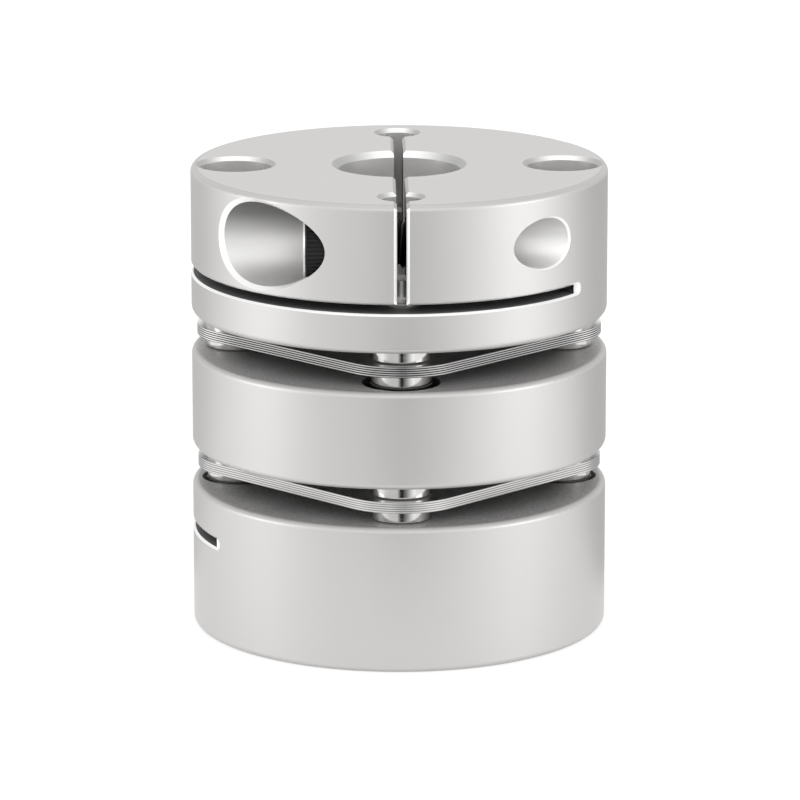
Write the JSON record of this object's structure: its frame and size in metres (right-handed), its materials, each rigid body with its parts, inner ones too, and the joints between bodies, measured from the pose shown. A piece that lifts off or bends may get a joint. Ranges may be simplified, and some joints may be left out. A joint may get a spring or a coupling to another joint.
{
  "type": "disc coupling",
  "caption": "Double-disc shaft coupling with clamp hubs at both ends, a centre spacer, and packs of thin steel leaves held by collared bolts.",
  "frame": {"origin": "centre of the lower hub's outer end face, which the coupling stands on", "axes": "+Z along the shaft axis, up; the upper hub's slit and clamp screw are at -Y, its screw head at -X"},
  "size_m": [0.068, 0.068, 0.0764],
  "materials": {
    "hub_aluminium": "fine bead-blasted and clear anodised, satin",
    "leaf_steel": "cold-rolled stainless, bright",
    "bolt_steel": "turned and polished, bright zinc",
    "black_steel": "black oxide, lightly oiled"
  },
  "bodies": {
    "root": {"centre_spacer": "hub_aluminium", "lower_clamp_screw": "black_steel", "lower_hub": "hub_aluminium", "lower_hub_bolt_1": "bolt_steel", "lower_hub_bolt_1_head_collar": "bolt_steel", "lower_hub_bolt_1_seat_collar": "bolt_steel", "lower_hub_bolt_2": "bolt_steel", "lower_hub_bolt_2_head_collar": "bolt_steel", "lower_hub_bolt_2_seat_collar": "bolt_steel", "lower_leaf_1": "leaf_steel", "lower_leaf_2": "leaf_steel", "lower_leaf_3": "leaf_steel", "lower_leaf_4": "leaf_steel", "lower_leaf_5": "leaf_steel", "lower_spacer_bolt_1": "bolt_steel", "lower_spacer_bolt_1_head_collar": "bolt_steel", "lower_spacer_bolt_1_seat_collar": "bolt_steel", "lower_spacer_bolt_2": "bolt_steel", "lower_spacer_bolt_2_head_collar": "bolt_steel", "lower_spacer_bolt_2_seat_collar": "bolt_steel", "upper_clamp_screw": "black_steel", "upper_hub": "hub_aluminium", "upper_hub_bolt_1": "bolt_steel", "upper_hub_bolt_1_head_collar": "bolt_steel", "upper_hub_bolt_1_seat_collar": "bolt_steel", "upper_hub_bolt_2": "bolt_steel", "upper_hub_bolt_2_head_collar": "bolt_steel", "upper_hub_bolt_2_seat_collar": "bolt_steel", "upper_leaf_1": "leaf_steel", "upper_leaf_2": "leaf_steel", "upper_leaf_3": "leaf_steel", "upper_leaf_4": "leaf_steel", "upper_leaf_5": "leaf_steel", "upper_spacer_bolt_1": "bolt_steel", "upper_spacer_bolt_1_head_collar": "bolt_steel", "upper_spacer_bolt_1_seat_collar": "bolt_steel", "upper_spacer_bolt_2": "bolt_steel", "upper_spacer_bolt_2_head_collar": "bolt_steel", "upper_spacer_bolt_2_seat_collar": "bolt_steel"}
  },
  "joints": []
}
